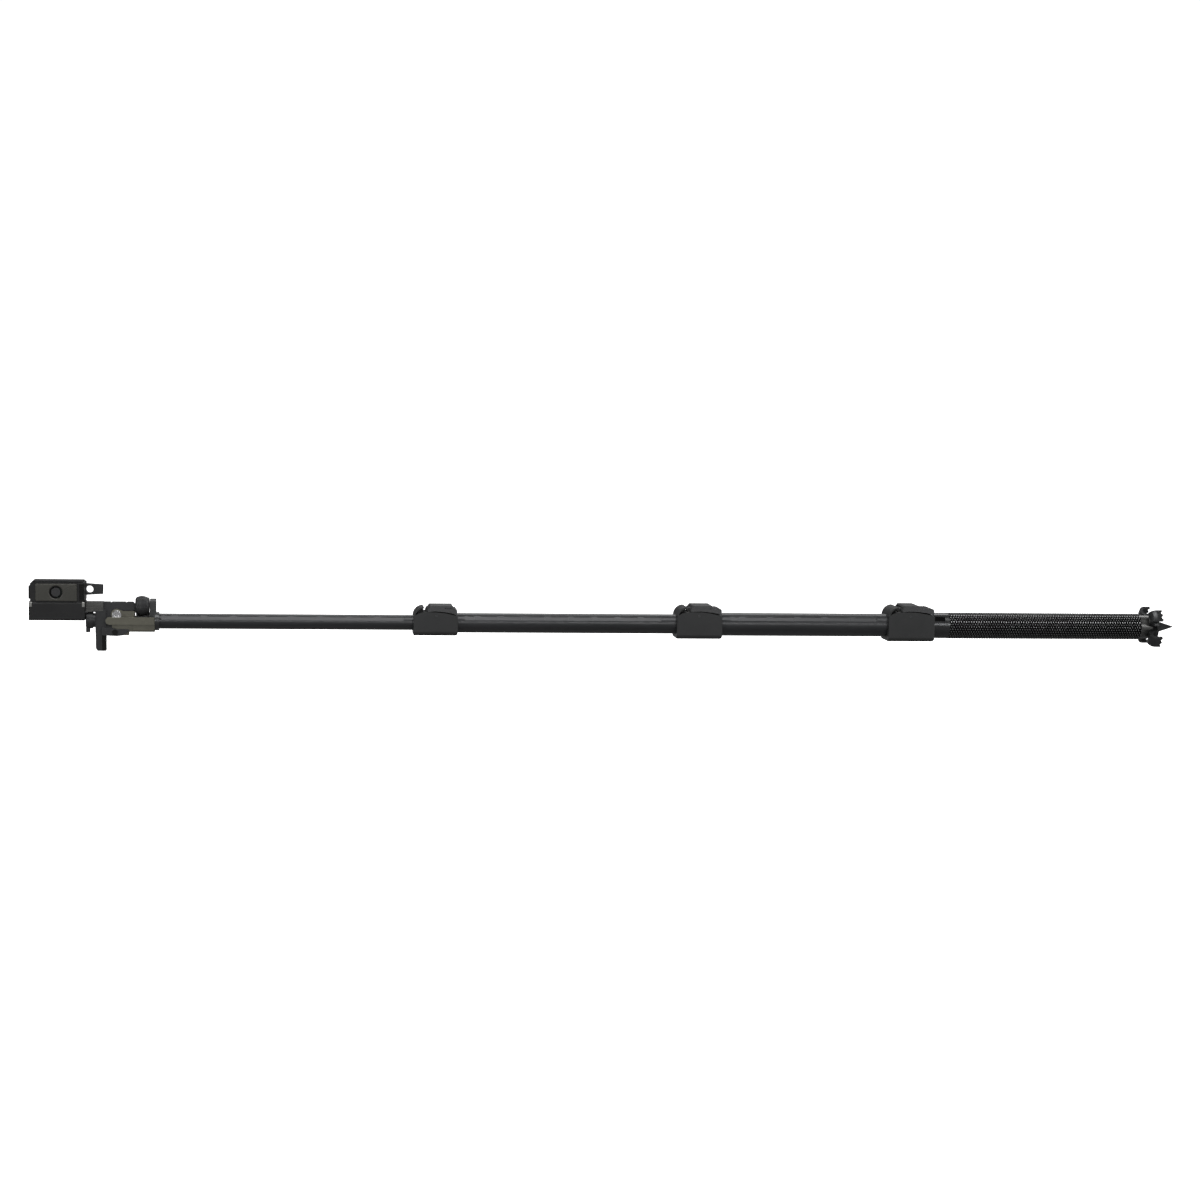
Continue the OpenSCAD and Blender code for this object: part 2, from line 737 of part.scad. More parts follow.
// Clamp that holds the pod on the rail
clamp_x1 = tilt_x - 14.4;
clamp_y = 6.1;
clamp_screw_r = 0.8;
clamp_screw_y = 5.05;
module rail_clamp() {
  color("#77787a") place() difference() {
    box([pod_x1 + 0.9, -clamp_y, rail_z0 - 1.2], [clamp_x1, clamp_y, rail_z1]);
    box([pod_x1, -tongue_y, rail_z0], [clamp_x1 + 1, tongue_y, rail_z1 + 1]);
    box([plate_x0 - shelf, -clamp_y - 1, rail_z0 - 2], [clamp_x1 + 1, clamp_y + 1, rail_z0]);
    box([plate_x0 - shelf, -bracket_y, rail_z0 - 2], [clamp_x1 + 1, bracket_y, rail_z0 + 1]);
    for (side = [-1, 1])
      rod_x(clamp_screw_r, pod_x1 - 1, pod_x1 + 5, side * clamp_screw_y, rail_z0 + 4.7);
  }
}

module clamp_screws() {
  color("#a8aaac") place() for (side = [-1, 1])
    rod_x(clamp_screw_r, pod_x1 - 3.5, pod_x1 + 5, side * clamp_screw_y, rail_z0 + 4.7);
}

// Camera pod: a battery base under a two-part shell
pod_y = pod_d / 2;
wall = 1.6;
module pod_base() {
  color("#333435") place() difference() {
    union() {
      plate_x(rrect(-pod_y - 0.5, pod_z0, pod_y + 0.5, pod_split_z, 2), pod_x0 - 1.4, pod_x1);
      box([pod_x1 - eps, -clamp_y, rail_z0], [pod_x1 + 0.9, clamp_y, rail_z1]);
    }
    box([pod_x0 + wall, -pod_y + wall, pod_z0 + wall], [pod_x1 - 5, pod_y - wall, pod_split_z + 1]);
    for (side = [-1, 1])
      rod_x(clamp_screw_r, pod_x1 - 3.5, pod_x1 + 2, side * clamp_screw_y, rail_z0 + 4.7);
    clip_box(pod_x0 - 2);
    clip_box(pod_x1 - 2.6);
  }
}

// Metal corner clip on the seam between base and shell
module clip_box(x) {
  box([x, -pod_y - 1, pod_split_z - 5.2], [x + 4, -pod_y + 1, pod_split_z]);
}

module corner_clips() {
  color("#8f8f88") place() intersection() {
    union() {
      clip_box(pod_x0 - 2);
      clip_box(pod_x1 - 2.6);
    }
    plate_x(rrect(-pod_y - 0.5, pod_z0, pod_y + 0.5, pod_split_z + 1, 2), pod_x0 - 1.4, pod_x1);
  }
}

button_x = (pod_x0 + pod_x1) / 2 - 1.5;
button_z = 31.7;
ring_r = 6.8;

module pod_front_shell() {
  color("#47473f") place() difference() {
    plate_y(rrect(pod_x0, pod_split_z, pod_x1, pod_z1, 1.4), -pod_y, 0);
    plate_y(rrect(pod_x0 + wall, pod_split_z + wall, pod_x1 - wall, pod_z1 - wall, 1), -pod_y + wall + 1, 1);
    plate_y(rrect(face_x0, face_z0, face_x1, face_z1, 1.2), -pod_y - 1, -pod_y + 1);
    rod_y(ring_r, button_x, button_z, -pod_y - 2, -pod_y + 6);
    box([pod_x1 - 5.6, -pod_y - 1, pod_split_z + 1.2], [pod_x1 - 0.8, -pod_y + 0.8, pod_z1 - 1.6]);
    box([pod_x1 - wall - 2, -3, tab_z - 4.2], [pod_x1 + 1, 1, tab_z + 4.2]);
  }
}

module pod_rear_shell() {
  color("#2f3031") place() difference() {
    plate_y(rrect(pod_x0, pod_split_z, pod_x1, pod_z1, 1.4), 0, pod_y);
    plate_y(rrect(pod_x0 + wall, pod_split_z + wall, pod_x1 - wall, pod_z1 - wall, 1), -1, pod_y - wall);
    rod_y(lens_r, lens_x, lens_z, 0, pod_y + 1);
    box([pod_x1 - wall - 2, -1, tab_z - 4.2], [pod_x1 + 1, 3, tab_z + 4.2]);
  }
}

face_x0 = pod_x0 + 5.6;
face_x1 = pod_x1 - 7.7;
face_z0 = pod_split_z + 0.8;
face_z1 = pod_z1 - 1.2;
module face_plate() {
  color("#5b5b50") place() difference() {
    plate_y(rrect(face_x0, face_z0, face_x1, face_z1, 1.2), -pod_y - 1, -pod_y + 1);
    rod_y(ring_r, button_x, button_z, -pod_y - 2, -pod_y + 6);
  }
}

module side_grip() {
  color("#3a3b3b") place() difference() {
    box([pod_x1 - 5.6, -pod_y - 0.5, pod_split_z + 1.2], [pod_x1 - 0.8, -pod_y + 0.8, pod_z1 - 1.6]);
    for (i = [0:6])
      box([pod_x1 - 6, -pod_y - 1, pod_split_z + 3 + 2.4 * i],
        [pod_x1, -pod_y, pod_split_z + 3.9 + 2.4 * i]);
  }
}

module top_plate() {
  color("#101112") place()
    plate_z(rrect(pod_x0 + 2, -pod_y + 1.5, pod_x1 - 1.8, pod_y - 1.5, 1.6), pod_z1, pod_z1 + pod_top_t);
}

// Eight-sided surround of the shutter button
module button_ring() {
  oct_r = 6.2;
  color("#2a2b2b") place() difference() {
    rod_y(ring_r, button_x, button_z, -pod_y - 0.7, -pod_y + 3.4);
    translate([button_x, 0, button_z]) rotate([90, 22.5, 0]) cylinder(r = oct_r, h = pod_y + 2, $fn = 8);
  }
}

module shutter_button() {
  color("#6a6a60") place() union() {
    translate([button_x, -pod_y + 2.4, button_z]) rotate([90, 22.5, 0]) cylinder(r = 5.2, h = 2.8, $fn = 8);
    rod_y(2.2, button_x, button_z, -pod_y + 2, -pod_y + 4);
  }
}

lens_x = pod_x0 + 18;
lens_z = 31.5;
lens_r = 7.4;
module lens_ring() {
  color("#232425") place() difference() {
    rod_y(lens_r, lens_x, lens_z, pod_y - 6, pod_y + 3);
    rod_y(5.2, lens_x, lens_z, pod_y - 7, pod_y + 4);
  }
}

module lens_glass() {
  color("#223344") place() rod_y(5.2, lens_x, lens_z, pod_y - 2, pod_y + 2.2);
}

// Port cover on the free end of the pod, on its own upright pin
cover_y = 9;
hinge_x = pod_x0 - 1.2;
hinge_r = 0.5;
ear_zs = [pod_split_z + 3.6, pod_split_z + 14.4];
module port_cover() {
  color("#38393a") place() difference() {
    union() {
      plate_x(rrect(-cover_y, pod_split_z + 2.4, cover_y - 2.6, pod_z1 - 4.4, 1.4),
        pod_x0 - cover_out, pod_x0 - 0.3);
      translate([hinge_x, cover_y - 2.6, pod_split_z + 6]) cylinder(r = 1, h = 8);
    }
    translate([hinge_x, cover_y - 2.6, pod_split_z]) cylinder(r = hinge_r + fit, h = 20);
    for (z = ear_zs)
      box([pod_x0 - 3, cover_y - 4.6, z - 0.2], [pod_x0 + 1, cover_y + 1, z + 2.2]);
  }
}

module port_pin() {
  color("#8c8e90") place() union() {
    translate([hinge_x, cover_y - 2.6, pod_split_z + 3.6]) cylinder(r = hinge_r, h = 12.8);
    for (z = ear_zs)
      box([pod_x0 - 2, cover_y - 3.4, z], [pod_x0, cover_y - 1.8, z + 2]);
  }
}

// Tab with a hole for a tether, held in the end of the shells
tab_x1 = pod_x1 + 18.5;
tab_hole_x = pod_x1 + 4.5;
tab_z = 34;
module tether_tab() {
  color("#4a4b4b") place() difference() {
    plate_y(concat([[pod_x1 - 3.4, tab_z - 4.2], [pod_x1, tab_z - 4.2], [pod_x1 + 0.6, tab_z - 6.2]],
      [[tab_x1, tab_z - 5.1], [tab_x1, tab_z + 5.1], [pod_x1 + 0.6, tab_z + 6.2],
      [pod_x1, tab_z + 4.2], [pod_x1 - 3.4, tab_z + 4.2]]), -3, 3);
    rod_y(tab_hole_d / 2, tab_hole_x, tab_z, -4, 4);
  }
}

module circuit_board() {
  color("#1f5a3a") place()
    box([pod_x0 + 3, 2.2, pod_split_z + 2.4], [pod_x1 - 5.4, 3.8, pod_z1 - 2.4]);
}

module battery() {
  color("#2b4a7a") place()
    plate_x(rrect(-pod_y + 2.4, pod_z0 + 2, pod_y - 2.4, pod_split_z - 2, 2), pod_x0 + 2.4, pod_x1 - 6);
}

handle_tube();
knurled_grip();
butt_plug();
end_cap();
claw_crown();
spike();
section_two_tube();
section_three_tube();
section_four_tube();
guide_bush_two();
guide_bush_three();
guide_bush_four();
clamp_collar_one();
clamp_collar_two();
clamp_collar_three();
lock_lever_one();
lock_lever_two();
lock_lever_three();
lever_pin_one();
lever_pin_two();
lever_pin_three();
pressure_pad_one();
pressure_pad_two();
pressure_pad_three();
collar_rivets_one();
collar_rivets_two();
collar_rivets_three();
tip_plug();
socket_screw();
tip_socket();
tilt_bolt();
tilt_nut();
head_bracket();
foot_pad();
knob_screw();
thumb_knob();
latch_lever();
latch_pin();
plunger_barrel();
plunger_spring();
release_plunger();
rail_clamp();
clamp_screws();
pod_base();
pod_front_shell();
pod_rear_shell();
face_plate();
side_grip();
top_plate();
corner_clips();
button_ring();
shutter_button();
lens_ring();
lens_glass();
port_cover();
port_pin();
tether_tab();
circuit_board();
battery();
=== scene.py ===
import json
import math

import bmesh
import bpy
from mathutils import Matrix, Vector


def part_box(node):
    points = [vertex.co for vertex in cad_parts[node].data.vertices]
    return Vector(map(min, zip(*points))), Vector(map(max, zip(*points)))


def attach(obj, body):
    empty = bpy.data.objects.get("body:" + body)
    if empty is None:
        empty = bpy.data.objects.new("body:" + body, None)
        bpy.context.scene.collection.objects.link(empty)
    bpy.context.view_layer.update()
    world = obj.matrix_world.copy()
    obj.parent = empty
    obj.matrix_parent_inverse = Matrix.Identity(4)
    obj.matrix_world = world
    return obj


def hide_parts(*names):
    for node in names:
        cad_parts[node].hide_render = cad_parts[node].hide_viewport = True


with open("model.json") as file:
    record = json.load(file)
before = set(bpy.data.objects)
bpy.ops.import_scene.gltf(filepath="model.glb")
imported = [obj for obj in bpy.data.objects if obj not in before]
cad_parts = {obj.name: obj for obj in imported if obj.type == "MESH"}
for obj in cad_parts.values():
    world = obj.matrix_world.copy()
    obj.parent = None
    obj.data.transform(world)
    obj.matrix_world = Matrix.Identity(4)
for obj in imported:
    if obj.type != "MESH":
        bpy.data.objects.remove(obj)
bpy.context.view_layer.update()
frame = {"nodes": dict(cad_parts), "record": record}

nodes = frame["nodes"]
MM = 0.001


# ---------------------------------------------------------------- camera, floor and light

def axis_and_radius(node):
    """Height of a round node's axis above the floor, and the node's radius."""
    low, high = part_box(node)
    return (low.z + high.z) / 2, (high.z - low.z) / 2


AXIS_Z, HANDLE_R = axis_and_radius("handle_tube")
GRIP_R = axis_and_radius("knurled_grip")[1]
SPIKE_TIP_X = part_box("spike")[1].x

# The camera looks at AIM. Angles are in degrees and lengths in metres, but LENS is in mm.
AIM = Vector((SPIKE_TIP_X - 0.6582, 0, AXIS_Z + 0.026))
AZIMUTH = -7.766
ELEVATION = 5.8
DISTANCE = 2.585
LENS = 70.58
ROLL = 1.192
CLIP_NEAR = 0.05
CLIP_FAR = 50

# Brightness of the room, seen by the object and by the camera, and of the floor.
ROOM_LIGHT = 0.12
ROOM_SHOWN = 1.05
FLOOR_GLOW = 0.92
FLOOR_BOUNCE = 0.3
FLOOR_HALF = 14

# Name, place, point aimed at, width, height and power in watts of each light.
LIGHTS = (
    ("key", (-0.2, -0.9, 2.1), (0, 0, 0.03), 2.4, 0.9, 50),
    ("front_strip", (0.2, -2.2, 0.62), (0, 0, 0.03), 3.0, 0.25, 30),
    ("left_side", (-2.1, -1.1, 0.5), (-0.3, 0, 0.04), 0.4, 1.0, 12),
    ("back_fill", (0.3, 1.4, 1.6), (0, 0, 0.03), 2.4, 0.8, 24),
)


def make_camera():
    a = math.radians(AZIMUTH)
    e = math.radians(ELEVATION)
    back = Vector((math.sin(a) * math.cos(e), -math.cos(a) * math.cos(e), math.sin(e)))
    data = bpy.data.cameras.new("camera")
    data.lens = LENS
    data.clip_start = CLIP_NEAR
    data.clip_end = CLIP_FAR
    camera = bpy.data.objects.new("camera", data)
    bpy.context.scene.collection.objects.link(camera)
    turn = (-back).to_track_quat("-Z", "Y").to_matrix().to_4x4()
    roll = Matrix.Rotation(math.radians(ROLL), 4, "Z")
    camera.matrix_world = Matrix.Translation(AIM + back * DISTANCE) @ turn @ roll
    bpy.context.scene.camera = camera


def make_light(name, place, aim, size, size_y, power):
    data = bpy.data.lights.new(name, "AREA")
    data.shape = "RECTANGLE"
    data.size = size
    data.size_y = size_y
    data.energy = power
    light = bpy.data.objects.new(name, data)
    bpy.context.scene.collection.objects.link(light)
    place = Vector(place)
    light.matrix_world = (Matrix.Translation(place)
                          @ (Vector(aim) - place).to_track_quat("-Z", "Y").to_matrix().to_4x4())


def camera_sees(tree, hidden, shown, output):
    """Sends one shader to the camera and another to every other ray."""
    path = tree.nodes.new("ShaderNodeLightPath")
    choose = tree.nodes.new("ShaderNodeMixShader")
    tree.links.new(path.outputs["Is Camera Ray"], choose.inputs[0])
    tree.links.new(hidden.outputs[0], choose.inputs[1])
    tree.links.new(shown.outputs[0], choose.inputs[2])
    tree.links.new(choose.outputs[0], tree.nodes[output].inputs["Surface"])


def make_stage():
    """A plain white floor that the object rests on."""
    data = bpy.data.meshes.new("floor")
    half = FLOOR_HALF
    data.from_pydata([(-half, -half, 0), (half, -half, 0), (half, half, 0), (-half, half, 0)], [],
                     [(0, 1, 2, 3)])
    floor = bpy.data.objects.new("floor", data)
    bpy.context.scene.collection.objects.link(floor)
    paint = bpy.data.materials.new("floor_paint")
    paint.use_nodes = True
    tree = paint.node_tree
    shown = tree.nodes["Principled BSDF"]
    shown.inputs["Base Color"].default_value = (0.9, 0.9, 0.9, 1)
    shown.inputs["Roughness"].default_value = 0.85
    shown.inputs["Specular IOR Level"].default_value = 0.1
    shown.inputs["Emission Color"].default_value = (1, 1, 1, 1)
    shown.inputs["Emission Strength"].default_value = FLOOR_GLOW
    bounce = tree.nodes.new("ShaderNodeBsdfDiffuse")
    bounce.inputs["Color"].default_value = (FLOOR_BOUNCE, FLOOR_BOUNCE, FLOOR_BOUNCE, 1)
    camera_sees(tree, bounce, shown, "Material Output")
    data.materials.append(paint)


def make_world():
    """A white studio that lights the object only softly."""
    world = bpy.data.worlds.new("studio")
    world.use_nodes = True
    tree = world.node_tree
    soft = tree.nodes["Background"]
    soft.inputs["Color"].default_value = (1, 1, 1, 1)
    soft.inputs["Strength"].default_value = ROOM_LIGHT
    white = tree.nodes.new("ShaderNodeBackground")
    white.inputs["Color"].default_value = (1, 1, 1, 1)
    white.inputs["Strength"].default_value = ROOM_SHOWN
    camera_sees(tree, soft, white, "World Output")
    bpy.context.scene.world = world
    bpy.context.scene.view_settings.view_transform = "Standard"


# ---------------------------------------------------------------- materials

# Grain settings that all materials share. RELIEF is the height of the grain in metres.
FINE_DETAIL = 4
BROAD_SCALE = 45
BROAD_DETAIL = 5
RELIEF = 0.0003
LOW_GREY = 0.3
HIGH_GREY = 0.7
MIN_ROUGH = 0.03
# A slot's floor is anything deeper than this below the surface. Such floors get painted shade: a
# near-black, fully metallic colour.
PAINTED_SHADE_DEPTH = 0.25 * MM
# Colour of the painted shade in slots and knurl valleys.
PAINTED_SHADE_BLACK = (0.002, 0.002, 0.002, 1)


def paint_pocket_shade(tree, shader, coords, ramp, metallic, radius):
    """Paints shade: blackens what lies deeper than a radius about the pole's axis, such as a slot's
    floor or a knurl's valleys, and makes it fully metallic so that it reflects almost nothing.
    """
    split = tree.nodes.new("ShaderNodeSeparateXYZ")
    tree.links.new(coords.outputs["Object"], split.inputs["Vector"])
    height = tree.nodes.new("ShaderNodeMath")
    height.operation = "SUBTRACT"
    height.inputs[1].default_value = AXIS_Z
    tree.links.new(split.outputs["Z"], height.inputs[0])
    square = tree.nodes.new("ShaderNodeMath")
    square.operation = "MULTIPLY"
    tree.links.new(height.outputs[0], square.inputs[0])
    tree.links.new(height.outputs[0], square.inputs[1])
    total = tree.nodes.new("ShaderNodeMath")
    total.operation = "MULTIPLY_ADD"
    tree.links.new(split.outputs["Y"], total.inputs[0])
    tree.links.new(split.outputs["Y"], total.inputs[1])
    tree.links.new(square.outputs[0], total.inputs[2])
    in_painted_shade = tree.nodes.new("ShaderNodeMath")
    in_painted_shade.operation = "LESS_THAN"
    in_painted_shade.inputs[1].default_value = radius ** 2
    tree.links.new(total.outputs[0], in_painted_shade.inputs[0])
    # Painted shade: the colour turns near-black below the radius.
    paint_shade_colour = tree.nodes.new("ShaderNodeMix")
    paint_shade_colour.data_type = "RGBA"
    paint_shade_colour.inputs["B"].default_value = PAINTED_SHADE_BLACK
    tree.links.new(in_painted_shade.outputs[0], paint_shade_colour.inputs["Factor"])
    tree.links.new(ramp.outputs["Color"], paint_shade_colour.inputs["A"])
    tree.links.new(paint_shade_colour.outputs["Result"], shader.inputs["Base Color"])
    # Painted shade: metallic goes to 1 below the radius, so the black reflects almost nothing.
    shade_metallic = tree.nodes.new("ShaderNodeMapRange")
    shade_metallic.inputs["To Min"].default_value = metallic
    shade_metallic.inputs["To Max"].default_value = 1
    tree.links.new(in_painted_shade.outputs[0], shade_metallic.inputs["Value"])
    tree.links.new(shade_metallic.outputs["Result"], shader.inputs["Metallic"])


def surface(name, colour, rough, metallic=0.0, grain=900, bump=0.05, vary=0.12, rough_vary=0.08,
            coat=0.0, stretch=(1, 1, 1), spec=0.5, shade_radius=None):
    """A material with fine grain, uneven colour and uneven gloss, all worked out by nodes, and with
    painted shade below a radius when one is given.
    """
    material = bpy.data.materials.new(name)
    material.use_nodes = True
    tree = material.node_tree
    shader = tree.nodes["Principled BSDF"]
    shader.inputs["Metallic"].default_value = metallic
    shader.inputs["Coat Weight"].default_value = coat
    shader.inputs["Specular IOR Level"].default_value = spec
    coords = tree.nodes.new("ShaderNodeTexCoord")
    mapping = tree.nodes.new("ShaderNodeMapping")
    mapping.inputs["Scale"].default_value = stretch
    tree.links.new(coords.outputs["Object"], mapping.inputs["Vector"])
    fine = tree.nodes.new("ShaderNodeTexNoise")
    fine.inputs["Scale"].default_value = grain
    fine.inputs["Detail"].default_value = FINE_DETAIL
    broad = tree.nodes.new("ShaderNodeTexNoise")
    broad.inputs["Scale"].default_value = BROAD_SCALE
    broad.inputs["Detail"].default_value = BROAD_DETAIL
    for noise in (fine, broad):
        tree.links.new(mapping.outputs["Vector"], noise.inputs["Vector"])
    mix = tree.nodes.new("ShaderNodeMath")
    mix.operation = "MULTIPLY_ADD"
    mix.inputs[1].default_value = 0.5
    tree.links.new(fine.outputs["Fac"], mix.inputs[0])
    half = tree.nodes.new("ShaderNodeMath")
    half.operation = "MULTIPLY"
    half.inputs[1].default_value = 0.5
    tree.links.new(broad.outputs["Fac"], half.inputs[0])
    tree.links.new(half.outputs[0], mix.inputs[2])
    ramp = tree.nodes.new("ShaderNodeValToRGB")
    ramp.color_ramp.elements[0].position = 0.32
    ramp.color_ramp.elements[1].position = 0.68
    ramp.color_ramp.elements[0].color = (*[c * (1 - vary) for c in colour], 1)
    ramp.color_ramp.elements[1].color = (*[min(1, c * (1 + vary)) for c in colour], 1)
    tree.links.new(mix.outputs[0], ramp.inputs["Fac"])
    # Painted shade: below the given radius about the pole's axis the colour is near-black.
    if shade_radius:
        paint_pocket_shade(tree, shader, coords, ramp, metallic, shade_radius)
    else:
        tree.links.new(ramp.outputs["Color"], shader.inputs["Base Color"])
    gloss = tree.nodes.new("ShaderNodeMapRange")
    gloss.inputs["From Min"].default_value = LOW_GREY
    gloss.inputs["From Max"].default_value = HIGH_GREY
    gloss.inputs["To Min"].default_value = max(MIN_ROUGH, rough - rough_vary)
    gloss.inputs["To Max"].default_value = min(1, rough + rough_vary)
    tree.links.new(mix.outputs[0], gloss.inputs["Value"])
    tree.links.new(gloss.outputs["Result"], shader.inputs["Roughness"])
    relief = tree.nodes.new("ShaderNodeBump")
    relief.inputs["Strength"].default_value = bump
    relief.inputs["Distance"].default_value = RELIEF
    tree.links.new(fine.outputs["Fac"], relief.inputs["Height"])
    tree.links.new(relief.outputs["Normal"], shader.inputs["Normal"])
    return material


def make_materials():
    """One material for each slot of the record, and two more for single nodes."""
    brushed = (1, 12, 12)
    drawn = (0.15, 1, 1)
    return {
        "anodised_tube": surface("anodised_tube", (0.017, 0.0175, 0.019), 0.36, 0.3, 700, 0.06, 0.16,
                                 stretch=drawn, spec=0.35),
        # The handle's slot and the grip's knurl valleys get painted shade wherever they lie deeper than
        # the shade depth below the surface.
        "handle_tube": surface("handle_metal", (0.034, 0.035, 0.036), 0.27, 0.75, 700, 0.05, 0.14,
                               stretch=drawn, shade_radius=HANDLE_R - PAINTED_SHADE_DEPTH),
        "knurled_grip": surface("knurled_metal", (0.155, 0.156, 0.158), 0.26, 0.85, 1200, 0.05, 0.3,
                                shade_radius=GRIP_R - PAINTED_SHADE_DEPTH),
        "clamp_body": surface("clamp_body", (0.019, 0.0195, 0.020), 0.44, 0.0, 1500, 0.25, 0.1,
                              spec=0.22),
        "lever": surface("lever_body", (0.027, 0.0275, 0.029), 0.40, 0.0, 1500, 0.25, 0.12, spec=0.4),
        "end_metal": surface("turned_metal", (0.085, 0.085, 0.082), 0.3, 0.8, 500, 0.08, 0.12,
                             stretch=brushed),
        "crown_metal": surface("crown_metal", (0.028, 0.029, 0.03), 0.33, 0.6, 900, 0.1, 0.2),
        "spike_metal": surface("spike_metal", (0.035, 0.036, 0.037), 0.36, 0.6, 900, 0.1, 0.2),
        "pin_steel": surface("pin_steel", (0.35, 0.35, 0.36), 0.3, 1.0, 900, 0.05, 0.1),
        "screw_chrome": surface("screw_chrome", (0.55, 0.55, 0.56), 0.12, 1.0, 900, 0.02, 0.04, 0.04),
        "bush_plastic": surface("bush_plastic", (0.6, 0.6, 0.57), 0.45, 0.0, 1200, 0.1, 0.05),
        "olive_casting": surface("olive_casting", (0.085, 0.082, 0.064), 0.36, 0.4, 1100, 0.15, 0.14),
        "head_casting": surface("head_casting", (0.019, 0.0195, 0.0205), 0.42, 0.1, 1300, 0.25, 0.18,
                                spec=0.25),
        "pad_rubber": surface("pad_rubber", (0.004, 0.004, 0.004), 0.7, 0.0, 1500, 0.3, 0.2, spec=0.15),
        "spring_steel": surface("spring_steel", (0.4, 0.4, 0.41), 0.28, 1.0, 800, 0.05, 0.1),
        "pod_dark": surface("pod_dark", (0.008, 0.0081, 0.0085), 0.42, 0.0, 1400, 0.2, 0.15, spec=0.22),
        "pod_olive": surface("pod_olive", (0.031, 0.0305, 0.0255), 0.36, 0.3, 1300, 0.12, 0.1,
                             stretch=(0.3, 1, 1)),
        "clip_metal": surface("clip_metal", (0.22, 0.22, 0.21), 0.33, 0.7, 900, 0.08, 0.12),
        "top_black": surface("top_black", (0.004, 0.004, 0.0045), 0.6, 0.0, 900, 0.05, 0.1, spec=0.12),
        "lens_glass": surface("lens_glass", (0.012, 0.016, 0.03), 0.05, 0.0, 600, 0.0, 0.1, 0.02,
                              coat=1.0),
        "board": surface("board", (0.01, 0.08, 0.035), 0.35, 0.0, 900, 0.1, 0.2),
        "cell": surface("cell", (0.02, 0.07, 0.2), 0.25, 0.0, 900, 0.03, 0.08),
    }


# ---------------------------------------------------------------- mesh helpers

def add_piece(name, mesh, node, material, smooth=True):
    """Links a new piece, rides it on the node's body and gives it the material passed in."""
    piece = bpy.data.objects.new(name, mesh)
    bpy.context.scene.collection.objects.link(piece)
    mesh.materials.clear()
    mesh.materials.append(material)
    for polygon in mesh.polygons:
        polygon.use_smooth = smooth
    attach(piece, BODY_OF[node])
    return piece


# Points closer than WELD metres are one point. Faces within FLAT_ANGLE degrees are one face,
# and only edges sharper than SHARP_ANGLE degrees are rounded.
WELD = 2e-6
FLAT_ANGLE = 0.6
SHARP_ANGLE = 28
ROUND_SEGMENTS = 2


def softened(node, width):
    """A copy of a CAD node with its edges rounded, which stands for that node."""
    source = nodes[node].data
    bm = bmesh.new()
    bm.from_mesh(source)
    bmesh.ops.remove_doubles(bm, verts=bm.verts, dist=WELD)
    bmesh.ops.dissolve_limit(bm, angle_limit=math.radians(FLAT_ANGLE), verts=bm.verts, edges=bm.edges)
    mesh = bpy.data.meshes.new(node + "_body")
    bm.to_mesh(mesh)
    bm.free()
    piece = add_piece(node + "_body", mesh, node, MATERIALS[SLOT_OF[node]])
    round_edges = piece.modifiers.new("round_edges", "BEVEL")
    round_edges.limit_method = "ANGLE"
    round_edges.angle_limit = math.radians(SHARP_ANGLE)
    round_edges.width = width * MM
    round_edges.segments = ROUND_SEGMENTS
    round_edges.use_clamp_overlap = True
    normals = piece.modifiers.new("normals", "WEIGHTED_NORMAL")
    normals.keep_sharp = True
    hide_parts(node)


def knurled_shell(rings_in, rings_out, x0, x1, radius, depth, pitch, axis_z, crown=0.0):
    """A round body about the X direction whose middle is cut with diamond knurling."""
    around = 2 * round(math.pi * radius / pitch)
    along = 2 * round((x1 - x0) / pitch)
    bm = bmesh.new()
    rows = []

    def ring(x, radii):
        row = []
        for i in range(around):
            angle = 2 * math.pi * i / around
            r = radii(i)
            row.append(bm.verts.new((x, r * math.cos(angle), axis_z + r * math.sin(angle))))
        return row

    for x, r in rings_in:
        rows.append((ring(x, lambda i, r=r: r), 0))
    for k in range(along + 1):
        x = x0 + (x1 - x0) * k / along
        ridge = radius - crown * (2 * k / along - 1) ** 2
        valley = ridge - depth
        row = ring(x, lambda i, k=k, ridge=ridge, valley=valley: ridge if (i + k) % 2 else valley)
        rows.append((row, 1 + k % 2))
    for x, r in rings_out:
        rows.append((ring(x, lambda i, r=r: r), 0))
    for (a, kind_a), (b, kind_b) in zip(rows, rows[1:]):
        for i in range(around):
            j = (i + 1) % around
            if kind_a and kind_b:
                low_first = (i + kind_a - 1) % 2 == 0
                if low_first:
                    bm.faces.new((a[i], a[j], b[j]))
                    bm.faces.new((a[i], b[j], b[i]))
                else:
                    bm.faces.new((a[i], a[j], b[i]))
                    bm.faces.new((a[j], b[j], b[i]))
            else:
                bm.faces.new((a[i], a[j], b[j], b[i]))
    return bm, rows


def finish_mesh(bm, name):
    bmesh.ops.recalc_face_normals(bm, faces=bm.faces)
    mesh = bpy.data.meshes.new(name)
    bm.to_mesh(mesh)
    bm.free()
    return mesh


# ---------------------------------------------------------------- pieces

def make_grip():
    """The handle's sleeve, cut with diamond knurling and open along its axis."""
    low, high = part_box("knurled_grip")
    centre, radius = axis_and_radius("knurled_grip")
    edge = 0.6 * MM
    rim = radius - 0.5 * MM
    depth = 0.46 * MM
    pitch = 2.9 * MM
    bm, rows = knurled_shell([(low.x, HANDLE_R), (low.x, rim)], [(high.x, rim), (high.x, HANDLE_R)],
                             low.x + edge, high.x - edge, radius, depth, pitch, centre)
    first, last = rows[0][0], rows[-1][0]
    for i in range(len(first)):
        j = (i + 1) % len(first)
        bm.faces.new((first[i], last[i], last[j], first[j]))
    piece = add_piece("grip_knurl", finish_mesh(bm, "grip_knurl"), "knurled_grip",
                      MATERIALS["knurled_grip"], smooth=False)
    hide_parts("knurled_grip")


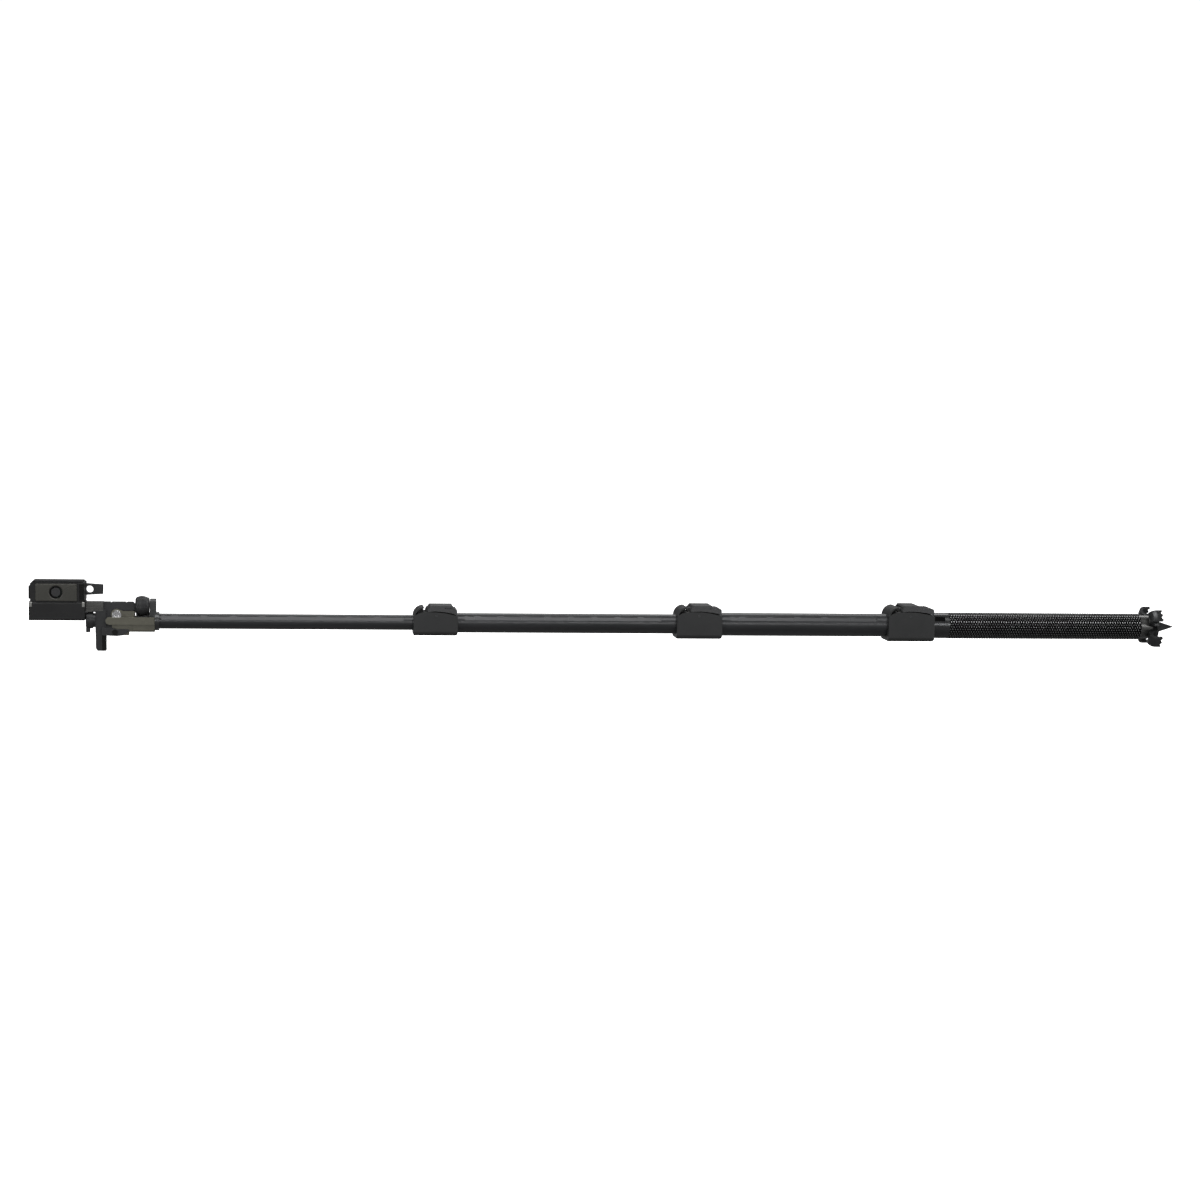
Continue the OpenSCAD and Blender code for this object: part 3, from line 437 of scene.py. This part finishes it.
def make_knob():
    """The thumb knob, with a slightly crowned knurled band between two smooth ends."""
    low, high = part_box("thumb_knob")
    centre, radius = axis_and_radius("thumb_knob")
    depth = 0.4 * MM
    pitch = 1.9 * MM
    crown = 1.1 * MM
    near_end = [(low.x + 0.4 * MM, 2.5 * MM), (low.x, 4 * MM), (low.x, radius - 3 * MM),
                (low.x + 0.8 * MM, radius - 2 * MM)]
    far_end = [(high.x - 2.2 * MM, radius - 1.4 * MM), (high.x - 2.0 * MM, radius - 1.6 * MM),
               (high.x - 0.6 * MM, radius - 1.7 * MM), (high.x, radius - 2.2 * MM),
               (high.x, 5 * MM), (high.x - 0.8 * MM, 4.4 * MM), (high.x - 0.8 * MM, 1 * MM)]
    bm, rows = knurled_shell(near_end, far_end, low.x + 1.8 * MM, high.x - 2.6 * MM, radius, depth,
                             pitch, centre, crown)
    bm.faces.new(rows[0][0])
    bm.faces.new(rows[-1][0])
    piece = add_piece("knob_knurl", finish_mesh(bm, "knob_knurl"), "thumb_knob",
                      MATERIALS["head_casting"], smooth=False)
    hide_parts("thumb_knob")


def make_spring():
    """The plunger's spring as a coil of round wire."""
    low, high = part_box("plunger_spring")
    wire = 0.45 * MM
    centre, radius = axis_and_radius("plunger_spring")
    coil_r = radius - wire
    turns = 3
    steps = 24 * turns
    sides = 8
    bm = bmesh.new()
    rings = []
    for s in range(steps + 1):
        t = s / steps
        angle = 2 * math.pi * turns * t
        out = Vector((0, math.cos(angle), math.sin(angle)))
        base = Vector((low.x + wire + (high.x - low.x - 2 * wire) * t, 0, centre)) + out * coil_r
        rings.append([bm.verts.new(base + out * (wire * math.cos(2 * math.pi * k / sides))
                                   + Vector((wire * math.sin(2 * math.pi * k / sides), 0, 0)))
                      for k in range(sides)])
    for a, b in zip(rings, rings[1:]):
        for k in range(sides):
            n = (k + 1) % sides
            bm.faces.new((a[k], a[n], b[n], b[k]))
    bm.faces.new(rings[0])
    bm.faces.new(rings[-1])
    piece = add_piece("plunger_coil", finish_mesh(bm, "plunger_coil"), "plunger_spring",
                      MATERIALS["spring_steel"])
    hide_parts("plunger_spring")


# Width in mm of the rounded edges of each node that is softened.
ROUNDED = {
    "clamp_collar_one": 0.45, "clamp_collar_two": 0.5, "clamp_collar_three": 0.55,
    "lock_lever_one": 0.3, "lock_lever_two": 0.3, "lock_lever_three": 0.3,
    "claw_crown": 0.5, "end_cap": 0.3, "tip_plug": 0.3, "tip_socket": 0.5, "tilt_bolt": 0.25,
    "head_bracket": 0.4, "latch_lever": 0.35, "release_plunger": 0.35, "rail_clamp": 0.4,
    "pod_base": 0.3, "pod_front_shell": 0.25, "pod_rear_shell": 0.4, "face_plate": 0.8,
    "top_plate": 0.25, "button_ring": 0.15, "shutter_button": 0.35, "port_cover": 0.25,
    "tether_tab": 0.3, "corner_clips": 0.2, "side_grip": 0.1, "foot_pad": 0.3, "lens_ring": 0.4,
}


def finish_nodes():
    """Gives every CAD node that still shows its own material."""
    for name, node in nodes.items():
        node.data.materials.clear()
        node.data.materials.append(MATERIALS.get(name, MATERIALS[SLOT_OF[name]]))
        for polygon in node.data.polygons:
            polygon.material_index = 0


BODY_OF = {n: body for body, names in frame["record"]["behaviour"]["bodies"].items() for n in names}
SLOT_OF = {row["node"]: row["material_slot"] for row in frame["record"]["subparts"]}
MATERIALS = make_materials()

make_camera()
make_stage()
make_world()
for light in LIGHTS:
    make_light(*light)
finish_nodes()
make_grip()
make_knob()
make_spring()
for node_name, edge_width in ROUNDED.items():
    softened(node_name, edge_width)
